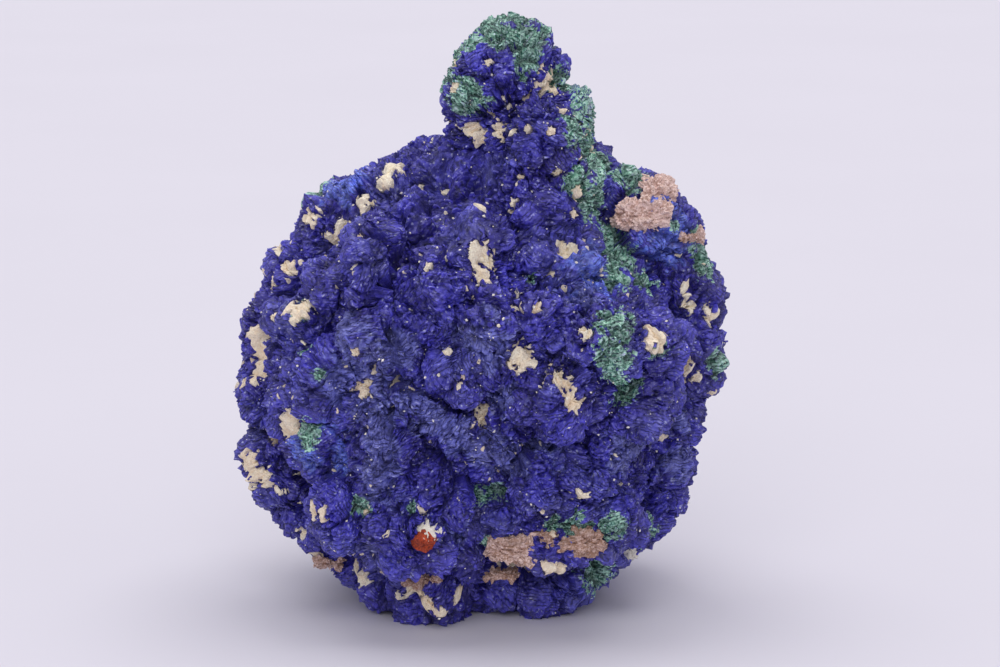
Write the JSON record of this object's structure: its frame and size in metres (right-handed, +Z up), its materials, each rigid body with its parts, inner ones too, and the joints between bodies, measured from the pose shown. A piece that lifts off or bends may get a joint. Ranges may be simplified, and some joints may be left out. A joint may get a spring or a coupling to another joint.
{
  "type": "azurite specimen",
  "caption": "Rounded nodule of grown-together azurite crystal cushions with a knobbed column on top and a flat broken underside to stand on.",
  "frame": {"origin": "on the flat broken rest face, below the middle of the nodule", "axes": "+Z up through the nodule to the knob, which is its longest way; the better side faces -Y; +X to that side's right"},
  "size_m": [0.0501, 0.0397, 0.0601],
  "materials": {
    "azurite": "deep blue crystal rosettes with malachite green tinges, dull to silky, fine glints on the blade edges",
    "clay": "matt cream to pink clay and rock caught between the crystals, with one iron-red spot"
  },
  "bodies": {
    "root": {"azurite_nodule": "azurite"}
  },
  "joints": []
}
